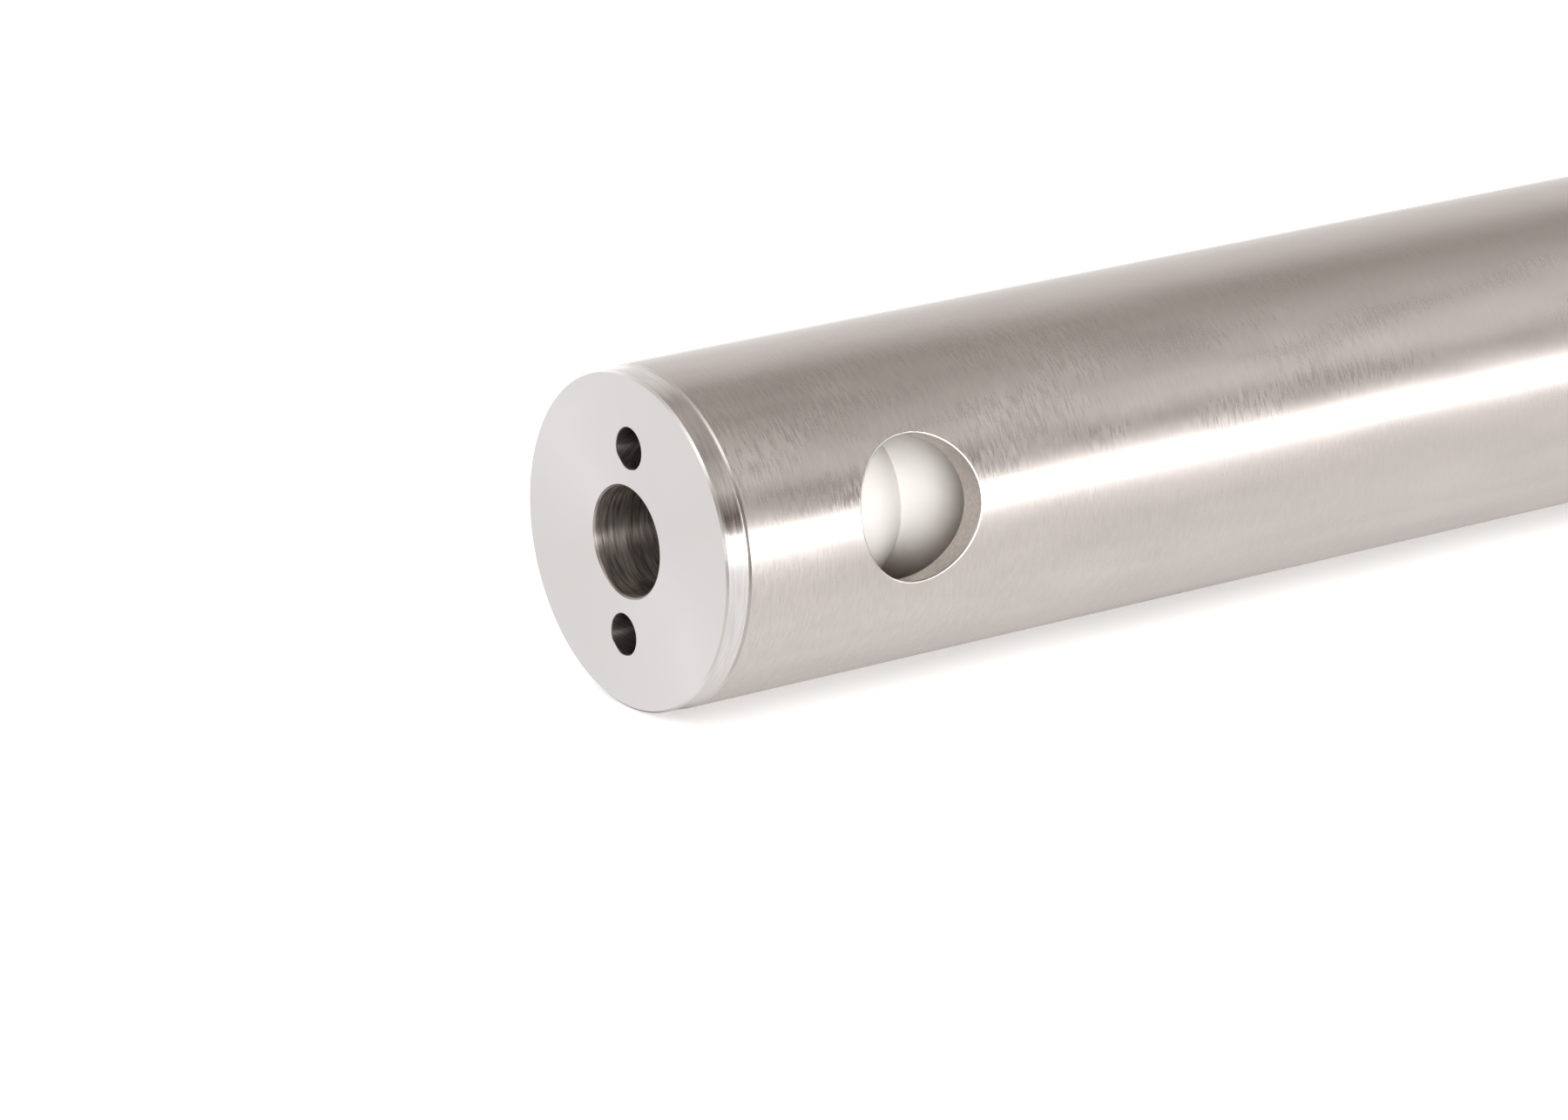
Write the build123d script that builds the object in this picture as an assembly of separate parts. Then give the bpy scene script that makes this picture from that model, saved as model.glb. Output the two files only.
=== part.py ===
from build123d import *
import math
import os

# A round stainless housing: a long thin-walled tube with one round side port, closed at its top end
# by a screwed-in plug.  The plug has a centre bore and two blind holes for a pin spanner, and its
# hollow nose carries a turned polymer guide bush, whose two ball-shaped collars lie behind the
# side port.
#
# Frame, in millimetres: the tube stands on its plain open end.  The origin is the centre of that
# end, +Z runs up the axis to the plug, and the side port looks along -Y.

# Housing tube
tube_length = 197.0
tube_diameter = 40.0
tube_wall = 3.3
tube_edge_break = 0.25
bore_lead_in = 0.6

# Side port, drilled through one wall
port_diameter = 16.8
port_below_plug_end = 24.3
port_edge_break = 0.2

# End plug
flange_step_in = 0.15  # the flange's rim lies this far inside the tube's outside, all round
flange_thickness = 3.0
flange_edge_break = 0.25
seam_edge_break = 0.12
screw_length = 13.5
screw_clearance = 0.05
undercut_width = 1.8
undercut_depth = 0.6
centre_bore = 13.0
centre_bore_break = 0.2
nose_wall = 1.5
nose_lead_in = 0.4

# Two blind holes for a pin spanner
spanner_hole_diameter = 4.85
spanner_circle = 22.5
spanner_hole_depth = 10.0
spanner_hole_break = 0.12
drill_point_angle = 118.0
spanner_holes_angle = -14.7  # where the holes stop, about Z from +X, once the plug is pulled up tight

# Guide bush: two ball-shaped collars with a sharp groove between them, turned in one piece
ball_radius = 12.0
collar_end_wall = 1.1
groove_wall = 0.9
bush_bore_clearance = 0.03

# Diameters that follow from the sizes above
tube_bore = tube_diameter - 2 * tube_wall
flange_diameter = tube_diameter - 2 * flange_step_in
nose_diameter = centre_bore + 2 * nose_wall
collar_end_radius = nose_diameter / 2 + collar_end_wall
groove_radius = nose_diameter / 2 + groove_wall

# Heights that follow from the sizes above
tube_top = tube_length
plug_face = tube_top + flange_thickness
screw_bottom = tube_top - screw_length
ball_to_collar_end = math.sqrt(ball_radius**2 - collar_end_radius**2)
ball_to_groove = math.sqrt(ball_radius**2 - groove_radius**2)
upper_ball_centre = screw_bottom - ball_to_collar_end
groove_height = upper_ball_centre - ball_to_groove
lower_ball_centre = groove_height - ball_to_groove
bush_bottom = lower_ball_centre - ball_to_collar_end
nose_bottom = bush_bottom
port_height = tube_top - port_below_plug_end


def chamfered_ring(outer_radius, inner_radius, bottom, top, outer_break, lead_in):
    """Half section of a plain tube, with its four edges broken."""
    return Polyline(
        (inner_radius + lead_in, bottom),
        (outer_radius - outer_break, bottom),
        (outer_radius, bottom + outer_break),
        (outer_radius, top - outer_break),
        (outer_radius - outer_break, top),
        (inner_radius + lead_in, top),
        (inner_radius, top - lead_in),
        (inner_radius, bottom + lead_in),
        close=True,
    )


def make_housing_tube():
    """Tube with both ends chamfered and a round port through the wall that faces -Y."""
    with BuildPart() as tube:
        with BuildSketch(Plane.XZ):
            with BuildLine():
                chamfered_ring(tube_diameter / 2, tube_bore / 2, 0, tube_top, tube_edge_break, bore_lead_in)
            make_face()
        revolve(axis=Axis.Z)
        with BuildSketch(Plane.XZ):
            with Locations((0, port_height)):
                Circle(port_diameter / 2)
        extrude(amount=tube_diameter, mode=Mode.SUBTRACT)
        outer_rim = tube.edges(Select.LAST).sort_by(Axis.Y)[0]
        fillet(outer_rim, port_edge_break)
    return tube.part


def make_end_plug():
    """Flanged screw-in plug with a hollow nose, a centre bore and two blind spanner holes."""
    flange_radius = flange_diameter / 2
    screw_radius = tube_bore / 2 - screw_clearance
    undercut_radius = screw_radius - undercut_depth
    nose_radius = nose_diameter / 2
    bore_radius = centre_bore / 2
    screw_lead_in = bore_lead_in
    with BuildPart() as plug:
        with BuildSketch(Plane.XZ):
            with BuildLine():
                Polyline(
                    (bore_radius + centre_bore_break, plug_face),
                    (flange_radius - flange_edge_break, plug_face),
                    (flange_radius, plug_face - flange_edge_break),
                    (flange_radius, tube_top + seam_edge_break),
                    (flange_radius - seam_edge_break, tube_top),
                    (undercut_radius, tube_top),
                    (undercut_radius, tube_top - undercut_width),
                    (screw_radius, tube_top - undercut_width - undercut_depth),
                    (screw_radius, screw_bottom + screw_lead_in),
                    (screw_radius - screw_lead_in, screw_bottom),
                    (nose_radius, screw_bottom),
                    (nose_radius, nose_bottom + nose_lead_in),
                    (nose_radius - nose_lead_in, nose_bottom),
                    (bore_radius, nose_bottom),
                    (bore_radius, plug_face - centre_bore_break),
                    close=True,
                )
            make_face()
        revolve(axis=Axis.Z)
        hole_radius = spanner_hole_diameter / 2
        point_depth = hole_radius / math.tan(math.radians(drill_point_angle / 2))
        with BuildSketch(Plane.XZ) as drill:
            with BuildLine():
                Polyline(
                    (0, plug_face),
                    (hole_radius + spanner_hole_break, plug_face),
                    (hole_radius, plug_face - spanner_hole_break),
                    (hole_radius, plug_face - spanner_hole_depth),
                    (0, plug_face - spanner_hole_depth - point_depth),
                    close=True,
                )
            make_face()
        drilled = revolve(drill.sketch, axis=Axis.Z, mode=Mode.PRIVATE)
        with PolarLocations(spanner_circle / 2, 2, start_angle=spanner_holes_angle):
            add(drilled, mode=Mode.SUBTRACT)
    return plug.part


def make_guide_bush():
    """Two ball-shaped collars in one turned piece, bored for the plug's nose."""
    bore_radius = nose_diameter / 2 + bush_bore_clearance
    with BuildPart() as bush:
        with BuildSketch(Plane.XZ):
            with BuildLine():
                ThreePointArc(
                    (collar_end_radius, screw_bottom),
                    (ball_radius, upper_ball_centre),
                    (groove_radius, groove_height),
                )
                ThreePointArc(
                    (groove_radius, groove_height),
                    (ball_radius, lower_ball_centre),
                    (collar_end_radius, bush_bottom),
                )
                Polyline(
                    (collar_end_radius, bush_bottom),
                    (bore_radius, bush_bottom),
                    (bore_radius, screw_bottom),
                    (collar_end_radius, screw_bottom),
                )
            make_face()
        revolve(axis=Axis.Z)
    return bush.part


nodes = {
    "housing_tube": make_housing_tube(),
    "end_plug": make_end_plug(),
    "guide_bush": make_guide_bush(),
}

os.makedirs("parts", exist_ok=True)
for name, solid in nodes.items():
    export_step(solid, f"parts/{name}.step")
    print(name, "volume", round(solid.volume, 1), "mm3", solid.bounding_box())
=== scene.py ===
import math

import bpy
from mathutils import Matrix, Vector


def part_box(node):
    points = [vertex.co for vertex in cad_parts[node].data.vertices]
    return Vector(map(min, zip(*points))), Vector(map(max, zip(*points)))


# Looks for a ground stainless tube with a side port, its faced end plug and its white guide bush.
# Metres.  The tube stands on its open end, +Z runs up to the plug, and the port looks along -Y.
# A white wall stands behind the tube and the camera is rolled, so the tube seems to lie on it.

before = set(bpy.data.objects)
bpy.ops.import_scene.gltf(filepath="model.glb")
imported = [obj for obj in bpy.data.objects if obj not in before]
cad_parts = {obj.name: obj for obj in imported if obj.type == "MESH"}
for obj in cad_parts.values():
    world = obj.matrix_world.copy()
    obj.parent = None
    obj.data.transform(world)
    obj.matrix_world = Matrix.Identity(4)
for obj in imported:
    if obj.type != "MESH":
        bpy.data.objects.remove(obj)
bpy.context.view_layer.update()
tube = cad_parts["housing_tube"]
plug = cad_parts["end_plug"]
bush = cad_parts["guide_bush"]
tube_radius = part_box("housing_tube")[1].x

# Where the drilled, faced and edge-broken surfaces are, for their finishes.  A hole's finish
# reaches a little past its wall, into its broken edge.
AXIS = Vector((0, 0, 0))
BORE_RADIUS = 0.00672
FACE_RADIUS = 0.0195
PIN_HOLE_RADIUS = 0.0025
PIN_HOLE = Matrix.Rotation(math.radians(-14.7), 3, "Z") @ Vector((0.01125, 0, 0))
PORT_CENTRE = Vector((0, 0, 0.1727))
PORT_RADIUS = 0.00843
TUBE_BORE_RADIUS = 0.0169
EDGE_BREAK = 0.0003  # a little wider than the real ones, so that all of each is taken in
FLANGE_THICKNESS = 0.003

# ---------------------------------------------------------------------------------------------
# Small helpers for node trees
# ---------------------------------------------------------------------------------------------


def add_node(tree, kind, inputs=None, **settings):
    """A new node with its settings made and its inputs filled in, by name or by number."""
    node = tree.nodes.new(kind)
    for name, value in settings.items():
        setattr(node, name, value)
    for key, value in (inputs or {}).items():
        if isinstance(value, bpy.types.NodeSocket):
            tree.links.new(value, node.inputs[key])
        else:
            node.inputs[key].default_value = value
    return node


def calculate(tree, operation, *terms):
    """The result of one Math node."""
    return add_node(tree, "ShaderNodeMath", dict(enumerate(terms)), operation=operation).outputs[0]


def weigh(tree, *pairs):
    """The sum of some values, each multiplied by its weight."""
    total = 0.0
    for value, weight in pairs:
        total = calculate(tree, "MULTIPLY_ADD", value, weight, total)
    return total


def remap(tree, value, low, high, new_low, new_high):
    """value moved from the range low..high to new_low..new_high, and kept within it."""
    ends = {"From Min": low, "From Max": high, "To Min": new_low, "To Max": new_high}
    return add_node(tree, "ShaderNodeMapRange", {"Value": value, **ends}).outputs["Result"]


def mix_values(tree, factor, first, second):
    """The value that lies between two values by factor."""
    fields = {0: factor, 2: first, 3: second}
    return add_node(tree, "ShaderNodeMix", fields, data_type="FLOAT").outputs[0]


def mix_colours(tree, factor, first, second):
    """The colour that lies between two colours by factor."""
    fields = {0: factor, 6: first, 7: second}
    return add_node(tree, "ShaderNodeMix", fields, data_type="RGBA").outputs[2]


def vector_maths(tree, operation, *vectors):
    """The outputs of one Vector Math node."""
    return add_node(tree, "ShaderNodeVectorMath", dict(enumerate(vectors)), operation=operation).outputs


def object_place(tree):
    """Each point's place on the object."""
    return add_node(tree, "ShaderNodeTexCoord").outputs["Object"]


def parts_of(tree, vector):
    """The X, Y and Z of a vector."""
    return add_node(tree, "ShaderNodeSeparateXYZ", {0: vector}).outputs


def radius_of(tree, place):
    """How far each point is from the axis."""
    return vector_maths(tree, "LENGTH", vector_maths(tree, "MULTIPLY", place, (1, 1, 0))[0])["Value"]


def start_group(name, inputs, output):
    """A node group with named number inputs and one output.  Returns it, its givens and its result."""
    group = bpy.data.node_groups.new(name, "ShaderNodeTree")
    for label, default in inputs.items():
        socket = group.interface.new_socket(label, in_out="INPUT", socket_type="NodeSocketFloat")
        socket.default_value = default
    group.interface.new_socket(output, in_out="OUTPUT", socket_type="NodeSocketFloat")
    return group, group.nodes.new("NodeGroupInput").outputs, group.nodes.new("NodeGroupOutput").inputs


def use_group(tree, group, **values):
    """The output of a node group placed in a tree with its own values."""
    node = tree.nodes.new("ShaderNodeGroup")
    node.node_tree = group
    for label, value in values.items():
        node.inputs[label].default_value = value
    return node.outputs[0]


# ---------------------------------------------------------------------------------------------
# Effects that several finishes share
# ---------------------------------------------------------------------------------------------

FACE_TO_WALL = 1.7  # on a face the tool lines follow the radius, on a wall the height; this joins the two


def stretched_noise(group, x, y, z, detail, roughness):
    """Noise at a place given by its three parts, with its middle range spread over 0..1."""
    vector = add_node(group, "ShaderNodeCombineXYZ", {"X": x, "Y": y, "Z": z}).outputs[0]
    fields = {"Vector": vector, "Scale": 1.0, "Detail": detail, "Roughness": roughness}
    noise = add_node(group, "ShaderNodeTexNoise", fields).outputs["Fac"]
    return remap(group, noise, 0.3, 0.7, 0.0, 1.0)


def make_turned_lines():
    """Fine lines that run round the axis on every turned face, wall, shoulder and chamfer."""
    group, given, result = start_group("turned_lines", {"Spacing": 0.0002, "Length": 0.002}, "Lines")
    place = object_place(group)
    at = parts_of(group, place)
    along = calculate(group, "MULTIPLY_ADD", radius_of(group, place), FACE_TO_WALL, at["Z"])
    x = calculate(group, "DIVIDE", at["X"], given["Length"])
    y = calculate(group, "DIVIDE", at["Y"], given["Length"])
    z = calculate(group, "DIVIDE", along, given["Spacing"])
    group.links.new(stretched_noise(group, x, y, z, detail=2.0, roughness=0.5), result["Lines"])
    return group


def make_cloudy_patches():
    """Soft patches where a finish differs a little, drawn out along the axis by Stretch."""
    inputs = {"Size": 0.01, "Stretch": 2.0, "Detail": 4.0}
    group, given, result = start_group("cloudy_patches", inputs, "Patches")
    at = parts_of(group, object_place(group))
    x = calculate(group, "DIVIDE", at["X"], given["Size"])
    y = calculate(group, "DIVIDE", at["Y"], given["Size"])
    z = calculate(group, "DIVIDE", at["Z"], calculate(group, "MULTIPLY", given["Size"], given["Stretch"]))
    noise = stretched_noise(group, x, y, z, detail=given["Detail"], roughness=0.55)
    group.links.new(noise, result["Patches"])
    return group


def make_edge_breaks():
    """1 on the broken edges at both ends of a turned length, and 0 elsewhere.

    Middle is the height halfway along it, and Reach is half its length plus its radius, less the
    width of a break."""
    group, given, result = start_group("edge_breaks", {"Middle": 0.1, "Reach": 0.1}, "Edges")
    place = object_place(group)
    height = parts_of(group, place)["Z"]
    from_middle = calculate(group, "ABSOLUTE", calculate(group, "SUBTRACT", height, given["Middle"]))
    corner = calculate(group, "ADD", from_middle, radius_of(group, place))
    group.links.new(calculate(group, "GREATER_THAN", corner, given["Reach"]), result["Edges"])
    return group


turned_lines = make_turned_lines()
cloudy_patches = make_cloudy_patches()
edge_breaks = make_edge_breaks()

# ---------------------------------------------------------------------------------------------
# Finishes
# ---------------------------------------------------------------------------------------------

# The tube's colours.  A pair is the darker and the lighter end of what one surface shows.
GROUND = (0.595, 0.549, 0.523, 1), (0.695, 0.641, 0.611, 1)
MILLED = (0.52, 0.475, 0.44, 1), (0.66, 0.61, 0.57, 1)
TUBE_BORE = (0.66, 0.56, 0.47, 1)
TUBE_EDGE = (0.66, 0.62, 0.59, 1)

# The plug's
FACED = (0.75, 0.72, 0.712, 1), (0.785, 0.755, 0.747, 1)
FLANGE_RIM = (0.71, 0.675, 0.66, 1), (0.81, 0.78, 0.765, 1)
FLANGE_EDGE = (0.80, 0.77, 0.74, 1)
# The bore's colours sink far below bare steel: painted shade inside the deep bore, spread by the turning
# lines' tone
BORE_LINES_AND_PAINTED_SHADE = (0.15, 0.125, 0.11, 1), (0.56, 0.50, 0.46, 1)
# The pin holes' near-black colours are painted shade inside the holes, spread by the turning lines' tone
PIN_HOLE_LINES_AND_PAINTED_SHADE = (0.08, 0.07, 0.06, 1), (0.22, 0.20, 0.185, 1)

# The bush's
POLYMER = (0.93, 0.895, 0.86, 1), (0.94, 0.915, 0.885, 1)

# Roughness.  A pair is its lower and its higher end on one surface.
GROUND_ROUGHNESS = 0.265, 0.315
DASH_ROUGHNESS = 0.01, 0.05  # how far a dash of the ground tube moves it
TUBE_BORE_ROUGHNESS = 0.55
MILLED_ROUGHNESS = 0.42
EDGE_ROUGHNESS = 0.18
RIM_ROUGHNESS = 0.04, 0.16
FACE_ROUGHNESS = 0.15, 0.18
HOLE_ROUGHNESS = 0.3, 0.42
POLYMER_ROUGHNESS = 0.4, 0.5

MARKED_HEIGHTS = 0.07, 0.18  # up the tube, towards the plug, its marks get stronger
MARK_STRENGTHS = 0.9, 2.6

LINE_DEPTH = 0.0001  # of the tool lines' relief, before each finish weakens it
ACROSS_LINES = 0.25  # a quarter of a turn, which draws the highlights out across the tool lines


def start_material(name):
    """A material with its shader.  Returns the material, its tree and the shader."""
    material = bpy.data.materials.new(name)
    material.use_nodes = True
    return material, material.node_tree, material.node_tree.nodes["Principled BSDF"]


def set_surface(tree, shader, colour, roughness, lines, relief):
    """Colour and roughness for a shader, and a relief of fine tool lines."""
    tree.links.new(colour, shader.inputs["Base Color"])
    tree.links.new(roughness, shader.inputs["Roughness"])
    bump = add_node(tree, "ShaderNodeBump", {"Height": lines, "Strength": relief, "Distance": LINE_DEPTH})
    tree.links.new(bump.outputs[0], shader.inputs["Normal"])


def set_turned_metal(shader, stretch):
    """Bare metal whose highlights are drawn out by its tool lines."""
    shader.inputs["Metallic"].default_value = 1.0
    shader.inputs["Anisotropic"].default_value = stretch
    shader.inputs["Anisotropic Rotation"].default_value = ACROSS_LINES


def edges_of(tree, node_name, length=None):
    """1 on the outer broken edges at both ends of a piece, or at both ends of its top length."""
    low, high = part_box(node_name)
    half = (length or high.z - low.z) / 2
    return use_group(tree, edge_breaks, Middle=high.z - half, Reach=half + high.x - EDGE_BREAK)


def closeness(tree, place, centre, radius, across=(1, 1, 0)):
    """1 within radius of a line that runs through centre, square to the across directions."""
    flat = vector_maths(tree, "MULTIPLY", place, across)[0]
    return calculate(tree, "LESS_THAN", vector_maths(tree, "DISTANCE", flat, centre)["Value"], radius)


def make_ground_steel():
    """Satin stainless steel, ground round the tube, with a milled port and polished broken edges."""
    material, tree, shader = start_material("ground_steel")
    place = object_place(tree)
    at = parts_of(tree, place)
    fine = use_group(tree, turned_lines, Spacing=0.00026, Length=0.0018)
    clouds = use_group(tree, cloudy_patches, Size=0.007, Stretch=2.5, Detail=2.0)
    streaks = use_group(tree, cloudy_patches, Size=0.004, Stretch=6.0, Detail=1.0)
    specks = use_group(tree, cloudy_patches, Size=0.0005, Stretch=1.0)

    on_edge = edges_of(tree, "housing_tube")
    in_bore = closeness(tree, place, AXIS, TUBE_BORE_RADIUS)
    round_port = closeness(tree, place, PORT_CENTRE, PORT_RADIUS, (1, 0, 1))
    in_front = calculate(tree, "LESS_THAN", at["Y"], 0.0)
    in_port = calculate(tree, "MULTIPLY", round_port, in_front)

    # The marks lie either side of 0, and with 0.1 more the middle of the tone comes to 0.5
    strength = remap(tree, at["Z"], *MARKED_HEIGHTS, *MARK_STRENGTHS)
    marks = calculate(tree, "MULTIPLY", remap(tree, fine, 0.1, 0.9, -0.5, 0.5), strength)
    tone = calculate(tree, "ADD", weigh(tree, (streaks, 0.4), (clouds, 0.4), (marks, 0.2)), 0.1)
    ground = mix_colours(tree, tone, *GROUND)
    surface = mix_colours(tree, on_edge, mix_colours(tree, in_bore, ground, TUBE_BORE), TUBE_EDGE)
    colour = mix_colours(tree, in_port, surface, mix_colours(tree, specks, *MILLED))

    # The dashes are the same marks in the roughness, and show most where the clouds are light
    dashes = calculate(tree, "MULTIPLY", marks, remap(tree, clouds, 0.35, 0.9, *DASH_ROUGHNESS))
    ground_rough = calculate(tree, "ADD", dashes, remap(tree, streaks, 0, 1, *GROUND_ROUGHNESS))
    walls_rough = mix_values(tree, in_bore, ground_rough, TUBE_BORE_ROUGHNESS)
    rough = mix_values(tree, on_edge, walls_rough, EDGE_ROUGHNESS)
    rough = mix_values(tree, in_port, rough, MILLED_ROUGHNESS)

    set_surface(tree, shader, colour, rough, fine, relief=0.01)
    set_turned_metal(shader, stretch=0.8)
    return material


def make_faced_steel():
    """Fine turned stainless steel: a smooth faced end, a polished rim, and a bore and pin holes painted
    dark with shade.
    """
    material, tree, shader = start_material("faced_steel")
    place = object_place(tree)
    fine = use_group(tree, turned_lines, Spacing=0.00012, Length=0.0015)
    coarse = use_group(tree, turned_lines, Spacing=0.00035, Length=0.004)
    clouds = use_group(tree, cloudy_patches, Size=0.012, Stretch=1.0)

    on_edge = edges_of(tree, "end_plug", FLANGE_THICKNESS)
    on_face = closeness(tree, place, AXIS, FACE_RADIUS)
    in_bore = closeness(tree, place, AXIS, BORE_RADIUS)
    in_each_pin_hole = [closeness(tree, place, hole, PIN_HOLE_RADIUS) for hole in (PIN_HOLE, -PIN_HOLE)]
    in_pin_holes = calculate(tree, "MAXIMUM", *in_each_pin_hole)
    in_holes = calculate(tree, "MAXIMUM", in_bore, in_pin_holes)

    faced = mix_colours(tree, weigh(tree, (fine, 0.3), (clouds, 0.7)), *FACED)
    rim = mix_colours(tree, coarse, *FLANGE_RIM)
    outside = mix_colours(tree, on_edge, mix_colours(tree, on_face, rim, faced), FLANGE_EDGE)
    # Inside the bore the colour turns to its painted shade, spread by the turning lines
    surface = mix_colours(tree, in_bore, outside, mix_colours(tree, coarse, *BORE_LINES_AND_PAINTED_SHADE))
    # Inside the pin holes the colour turns to their near-black painted shade
    colour = mix_colours(tree, in_pin_holes, surface, mix_colours(tree, coarse, *PIN_HOLE_LINES_AND_PAINTED_SHADE))

    rim_rough = remap(tree, coarse, 0, 1, *RIM_ROUGHNESS)
    face_rough = remap(tree, clouds, 0, 1, *FACE_ROUGHNESS)
    hole_rough = remap(tree, fine, 0, 1, *HOLE_ROUGHNESS)
    rough = mix_values(tree, in_holes, mix_values(tree, on_face, rim_rough, face_rough), hole_rough)
    rough = mix_values(tree, on_edge, rough, EDGE_ROUGHNESS)

    set_surface(tree, shader, colour, rough, fine, relief=0.02)
    set_turned_metal(shader, stretch=1.0)
    return material


def make_white_polymer():
    """White turned polymer with a soft sheen and hardly visible tool lines."""
    material, tree, shader = start_material("white_polymer")
    fine = use_group(tree, turned_lines, Spacing=0.0003, Length=0.03)
    clouds = use_group(tree, cloudy_patches, Size=0.008, Stretch=1.0)
    rough = remap(tree, fine, 0, 1, *POLYMER_ROUGHNESS)
    set_surface(tree, shader, mix_colours(tree, clouds, *POLYMER), rough, fine, relief=0.05)
    return material


def give_finish(piece, material):
    """Puts one material in every slot of a piece."""
    for slot in piece.material_slots:
        slot.material = material


give_finish(tube, make_ground_steel())
give_finish(plug, make_faced_steel())
give_finish(bush, make_white_polymer())

# ---------------------------------------------------------------------------------------------
# Studio: the wall that the tube leans against, the floor, the light all round, and the camera
# ---------------------------------------------------------------------------------------------

WHITE = (1, 1, 1, 1)
SHEET_COLOUR = (0.8, 0.8, 0.8, 1)
SHEET_SIZE = 6.0
WALL_GLOW = 0.65
FLOOR_GLOW = 0.45
# The sheets' glow is dimmed where the object hems a point in: a contact shadow painted into the glow,
# over the real soft shadow that the diffuse part catches
PAINTED_SHADOW_REACH = 0.007  # how far from the object a sheet's contact shadow goes
PAINTED_CONTACT_SHADE = 0.4  # how much glow a sheet loses where the object touches it
CLOSED_IN, OPEN = 0.1, 0.6  # how free of the object a point is where the shade is full and where it ends

wall_normal = Vector((0.980, -0.199, 0.0)).normalized()
wall_level = Vector((-0.199, -0.980, 0.0)).normalized()  # along the wall, towards the camera
up = Vector((0, 0, 1))


def make_sheet_finish(name, glow):
    """White, with a contact shadow painted into its glow near the object over its real soft shadow,
    darkest at the contact, and clear from behind.
    """
    material, tree, shader = start_material(name)
    shader.inputs["Base Color"].default_value = SHEET_COLOUR
    shader.inputs["Roughness"].default_value = 1.0
    shader.inputs["Specular IOR Level"].default_value = 0.0
    shader.inputs["Emission Color"].default_value = WHITE
    # Painted shadow: an occlusion test lowers the glow near the object
    freedom = add_node(tree, "ShaderNodeAmbientOcclusion", {"Distance": PAINTED_SHADOW_REACH}).outputs["AO"]
    glow_with_painted_shadow = remap(tree, freedom, CLOSED_IN, OPEN, glow - PAINTED_CONTACT_SHADE, glow)
    tree.links.new(glow_with_painted_shadow, shader.inputs["Emission Strength"])
    back = add_node(tree, "ShaderNodeNewGeometry").outputs["Backfacing"]
    clear = add_node(tree, "ShaderNodeBsdfTransparent").outputs[0]
    either = add_node(tree, "ShaderNodeMixShader", {0: back, 1: shader.outputs[0], 2: clear}).outputs[0]
    tree.links.new(either, tree.nodes["Material Output"].inputs["Surface"])
    return material


def make_sheet(name, centre, normal, glow):
    """A large flat sheet that only the camera sees."""
    bpy.ops.object.select_all(action="DESELECT")
    turn = normal.to_track_quat("Z", "Y").to_euler()
    bpy.ops.mesh.primitive_plane_add(size=SHEET_SIZE, location=centre, rotation=turn)
    sheet = bpy.context.object
    sheet.name = name
    sheet.data.materials.append(make_sheet_finish(name + "_white", glow))
    sheet.visible_diffuse = False
    sheet.visible_glossy = False
    sheet.visible_transmission = False
    sheet.visible_shadow = False


make_sheet("wall", -tube_radius * wall_normal, wall_normal, WALL_GLOW)
make_sheet("floor", Vector((0, 0, 0)), up, FLOOR_GLOW)

# How bright the room is in each direction round the tube: degrees from wall_level towards
# wall_normal, and strength.  The rings go from straight down to straight up.
FAR_DOWN_LIGHT = (
    (-180, 1.3), (-168, 1.4), (-158, 0.4), (-150, 0.4), (-125, 0.6), (-100, 0.6), (-60, 0.2),
    (-20, 0.1), (-5, 0.5), (6, 3.0), (18, 3.0), (32, 2.0), (90, 3.4), (110, 1.8), (130, 0.9),
    (180, 1.3),
)
OPEN_END_LIGHT = (
    (-180, 1.22), (-170, 1.4), (-164, 1.3), (-158, 0.38), (-150, 0.33), (-139, 0.59),
    (-127, 0.72), (-109, 0.82), (-97, 0.88), (-85, 0.92), (-31, 0.93), (-19, 1.0), (-13, 1.1),
    (-8, 1.4), (-4, 2.6), (0, 3.6), (5, 3.6), (9, 1.8), (12, 0.7), (16, 0.3), (22, 0.15),
    (28, 0.26), (34, 0.37), (40, 0.55), (47, 0.54), (58, 0.47), (66, 0.39), (76, 0.41),
    (100, 0.46), (112, 0.4), (118, 0.45), (124, 0.56), (130, 0.66), (142, 0.79), (166, 0.87),
    (174, 0.97), (180, 1.22),
)
LEVEL_LIGHT = (
    (-180, 2.0), (-168, 2.0), (-160, 0.4), (-150, 0.15), (-140, 0.15), (-120, 0.7), (-90, 1.1),
    (-60, 1.3), (-20, 1.4), (-9, 1.8), (-2, 5.0), (9, 5.0), (16, 2.2), (28, 0.9), (45, 0.8),
    (60, 0.5), (100, 0.45), (130, 0.7), (160, 1.3), (180, 2.0),
)
RAISED_LIGHT = (
    (-180, 0.95), (-110, 0.95), (-85, 0.7), (-40, 0.8), (-18, 1.4), (-8, 2.6), (-3, 5.0),
    (9, 5.0), (16, 3.4), (30, 2.2), (45, 1.0), (60, 0.6), (100, 0.5), (130, 0.7), (160, 0.95),
    (180, 0.95),
)
PLUG_END_LIGHT = (
    (-180, 0.95), (-95, 0.95), (-75, 0.7), (-45, 0.6), (-30, 0.3), (-16, 0.05), (35, 0.05),
    (55, 0.6), (75, 1.8), (130, 1.8), (150, 0.95), (180, 0.95),
)
# Above the lowest ring, each takes over from the last between two heights, where -1 is straight
# down and 1 is straight up
HIGHER_RINGS = (
    (OPEN_END_LIGHT, -0.88, -0.75),
    (LEVEL_LIGHT, -0.35, -0.15),
    (RAISED_LIGHT, 0.25, 0.4),
    (PLUG_END_LIGHT, 0.6, 0.8),
)
CURVE_TOP = 8.0  # the strength that a full curve stands for, above every ring's brightest
DIM_LIGHT = (1.0, 0.82, 0.70, 1)  # the dim parts of the room are warm, and the bright ones white
WARM_BELOW, WHITE_ABOVE = 0.1, 1.3  # the strengths between which the warmth fades
WARMTH_FADE = 2.5  # above 1, most of the warmth goes at the dim end


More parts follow.
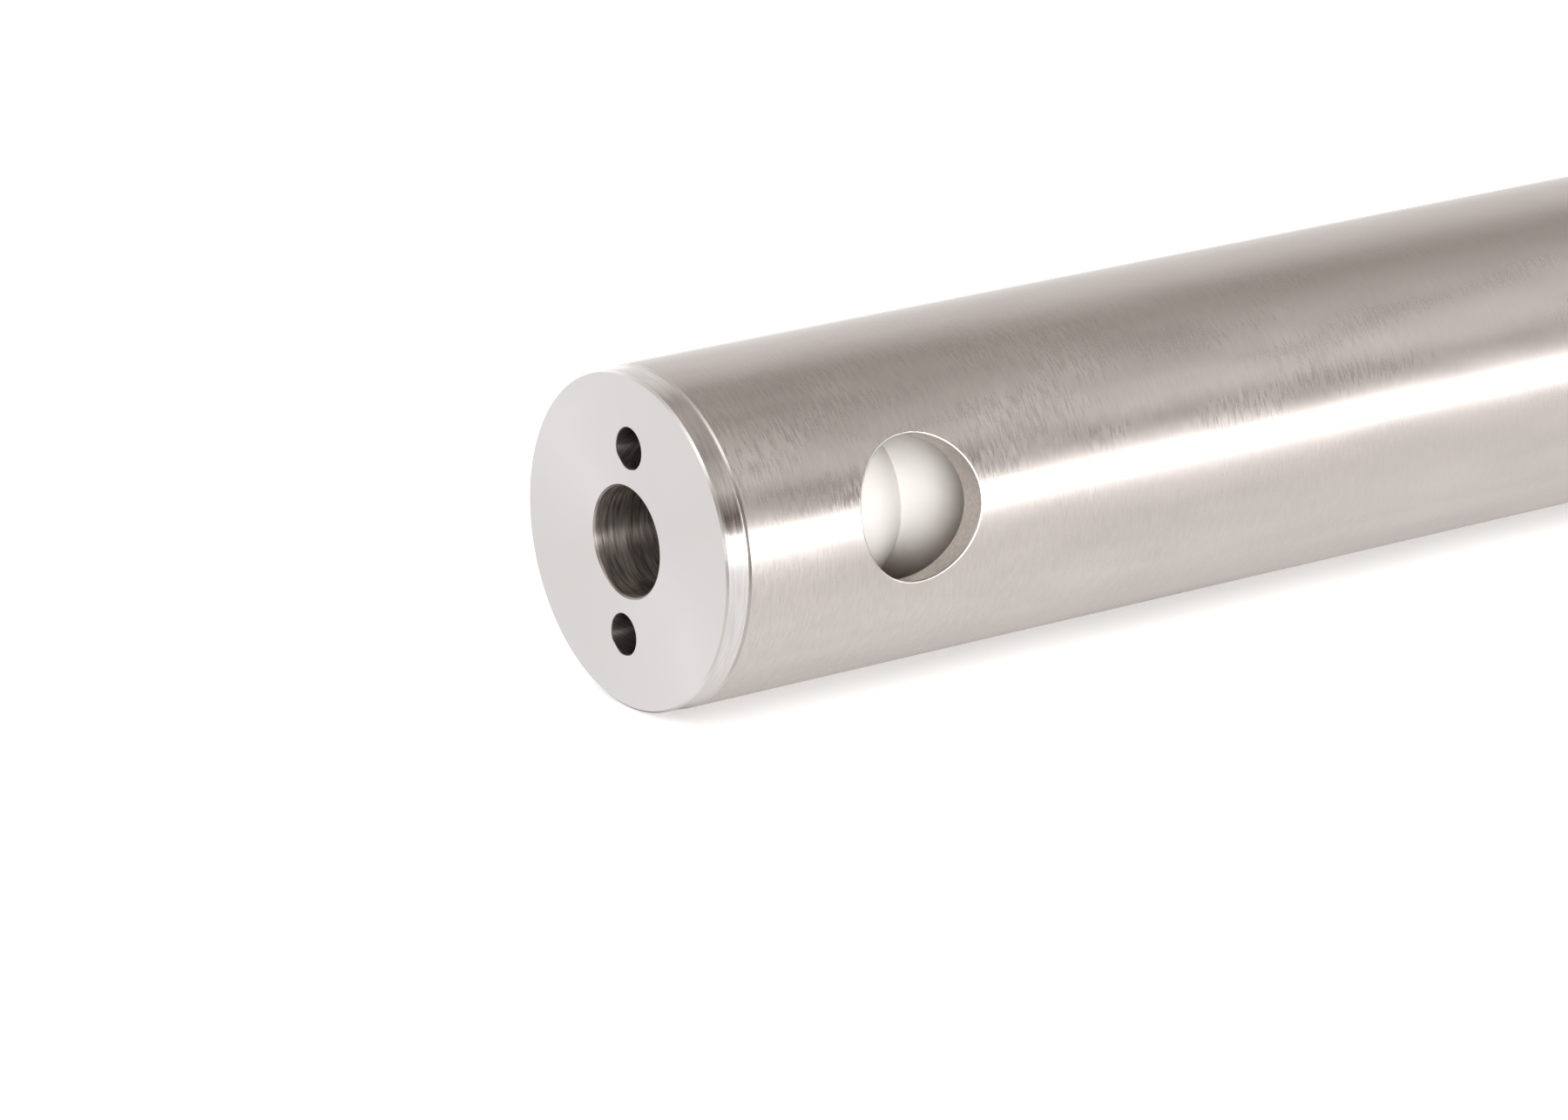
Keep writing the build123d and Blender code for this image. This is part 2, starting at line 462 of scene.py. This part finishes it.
def ring_of_light(tree, turn, ring):
    """The strength that a ring of light has at turn, which goes from 0 to 1 round the tube."""
    curve = add_node(tree, "ShaderNodeFloatCurve", {"Value": turn})
    line = curve.mapping.curves[0]
    places = [((degrees + 180) / 360, strength / CURVE_TOP) for degrees, strength in ring]
    line.points[0].location = places[0]
    line.points[1].location = places[-1]
    for x, y in places[1:-1]:
        line.points.new(x, y)
    for point in line.points:
        point.handle_type = "VECTOR"
    curve.mapping.update()
    return calculate(tree, "MULTIPLY", curve.outputs[0], CURVE_TOP)


def make_room():
    """Soft light all round the tube, and a plain white background for the camera."""
    world = bpy.data.worlds.new("studio")
    bpy.context.scene.world = world
    world.use_nodes = True
    tree = world.node_tree
    direction = add_node(tree, "ShaderNodeTexCoord").outputs["Generated"]

    def part_along(way):
        return vector_maths(tree, "DOT_PRODUCT", direction, way)["Value"]

    angle = calculate(tree, "ARCTAN2", part_along(wall_normal), part_along(wall_level))
    turn = remap(tree, calculate(tree, "DEGREES", angle), -180, 180, 0.0, 1.0)
    upward = part_along(up)
    strength = ring_of_light(tree, turn, FAR_DOWN_LIGHT)
    for ring, start, end in HIGHER_RINGS:
        further_up = remap(tree, upward, start, end, 0.0, 1.0)
        strength = mix_values(tree, further_up, strength, ring_of_light(tree, turn, ring))
    dimness = remap(tree, strength, WARM_BELOW, WHITE_ABOVE, 1.0, 0.0)
    colour = mix_colours(tree, calculate(tree, "POWER", dimness, WARMTH_FADE), WHITE, DIM_LIGHT)
    seen = add_node(tree, "ShaderNodeLightPath").outputs["Is Camera Ray"]
    background = tree.nodes["Background"].inputs
    tree.links.new(mix_values(tree, seen, strength, 1.0), background["Strength"])
    tree.links.new(mix_colours(tree, seen, colour, WHITE), background["Color"])


CAMERA_PLACE = Vector((0.1085, -0.6416, 0.6174))
CAMERA_AHEAD = Vector((-0.1457, 0.8167, -0.5584))
CAMERA_DOWN = Vector((-0.9824, -0.0528, 0.1792))
SENSOR_WIDTH = 36.0
FOCAL_LENGTH = 156.24
NEAREST_SEEN = 0.05


def make_camera():
    """A long lens that looks down on the plug from the port's side, with the tube near level."""
    ahead = CAMERA_AHEAD.normalized()
    right = CAMERA_DOWN.cross(ahead).normalized()
    down = ahead.cross(right)
    data = bpy.data.cameras.new("camera")
    data.sensor_width = SENSOR_WIDTH
    data.lens = FOCAL_LENGTH
    data.clip_start = NEAREST_SEEN
    camera = bpy.data.objects.new("camera", data)
    bpy.context.scene.collection.objects.link(camera)
    turned = Matrix((right, -down, -ahead)).transposed().to_4x4()
    camera.matrix_world = Matrix.Translation(CAMERA_PLACE) @ turned
    bpy.context.scene.camera = camera


make_room()
make_camera()
bpy.context.scene.view_settings.view_transform = "Standard"
